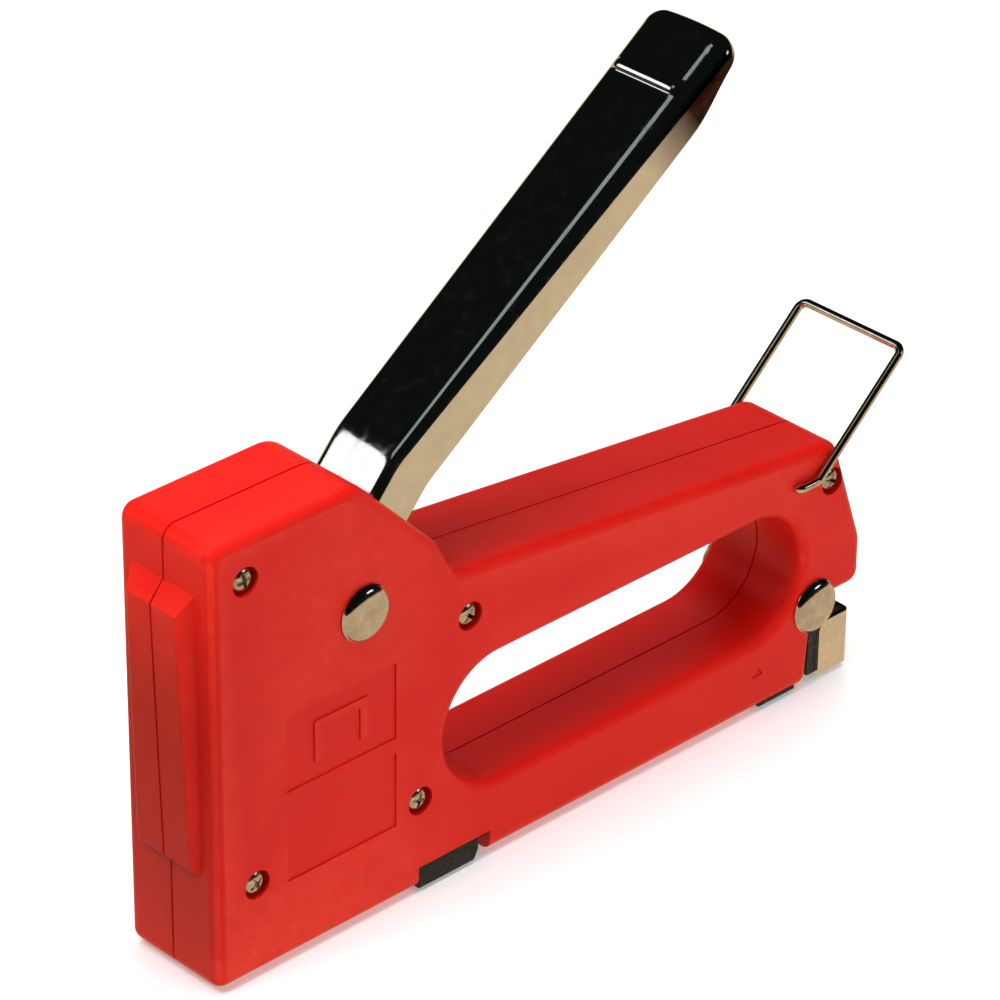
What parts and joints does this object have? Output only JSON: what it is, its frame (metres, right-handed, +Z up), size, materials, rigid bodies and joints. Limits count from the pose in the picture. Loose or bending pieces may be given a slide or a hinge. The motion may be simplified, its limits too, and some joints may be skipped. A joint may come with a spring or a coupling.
{
  "type": "staple gun",
  "caption": "Hand staple gun with a moulded two-shell body, finger opening, chrome squeeze lever, pull-out magazine and wire bail that holds the lever shut.",
  "frame": {"origin": "middle of the front guide plate's bottom edge, in the plane of the sole, where the staple leaves", "axes": "+X from the nose to the rear, +Z up, square to the sole; -Y is the left side"},
  "size_m": [0.1854, 0.03, 0.1524],
  "materials": {
    "red_plastic": "moulded, semi-gloss",
    "chrome": "bright plated sheet steel",
    "nickel": "nickel-plated, polished domes",
    "zinc": "zinc-plated",
    "spring_steel": "oiled spring steel",
    "tool_steel": "ground steel",
    "black_steel": "black enamel",
    "black_plastic": "moulded, matt",
    "rubber": "moulded"
  },
  "bodies": {
    "housing": {"left_housing": "red_plastic", "right_housing": "red_plastic", "housing_screws": "zinc", "lever_pivot_pin": "nickel", "lever_pivot_cap": "nickel", "lever_pivot_sleeve": "zinc", "rear_catch_pin": "nickel", "rear_catch_cap": "nickel", "front_plate": "tool_steel", "bumper": "rubber", "main_spring": "spring_steel", "main_spring_seat": "zinc", "magazine_channel": "black_steel"},
    "lever": {"lever": "chrome", "lever_return_spring": "spring_steel"},
    "hammer": {"hammer": "tool_steel", "driver_blade": "tool_steel", "hammer_lift_pin": "tool_steel"},
    "bail": {"bail": "nickel"},
    "magazine": {"staple_rail": "black_steel", "pusher_rod": "zinc", "pusher_rod_nut": "spring_steel", "pusher_spring": "spring_steel", "magazine_end_block": "black_plastic", "magazine_end_clip": "nickel", "end_clip_rivet": "zinc"},
    "follower": {"follower": "zinc"}
  },
  "joints": [
    {"name": "lever_swing", "type": "hinge", "parent": "housing", "child": "lever", "pos_m": [0.0339, 0, 0.0676], "axis": [0, 1, 0], "range_deg": [0, 41], "stiffness_Nm_per_rad": 2, "springref_deg": -20.05},
    {"name": "hammer_lift", "type": "slide", "parent": "housing", "child": "hammer", "axis": [0, 0, 1], "range_m": [0, 0.0134], "deforming": ["main_spring"]},
    {"name": "bail_swing", "type": "hinge", "parent": "housing", "child": "bail", "pos_m": [0.1497, 0, 0.0482], "axis": [0, 1, 0], "range_deg": [-60, 88]},
    {"name": "magazine_slide", "type": "slide", "parent": "housing", "child": "magazine", "axis": [1, 0, 0], "range_m": [0, 0.1]},
    {"name": "follower_slide", "type": "slide", "parent": "magazine", "child": "follower", "axis": [1, 0, 0], "range_m": [0, 0.09], "stiffness_N_per_m": 20, "springref_m": -0.1, "deforming": ["pusher_spring"]}
  ],
  "couplings": [
    {"joint": "hammer_lift", "follows": "lever_swing", "m_per_rad": 0.0185}
  ]
}
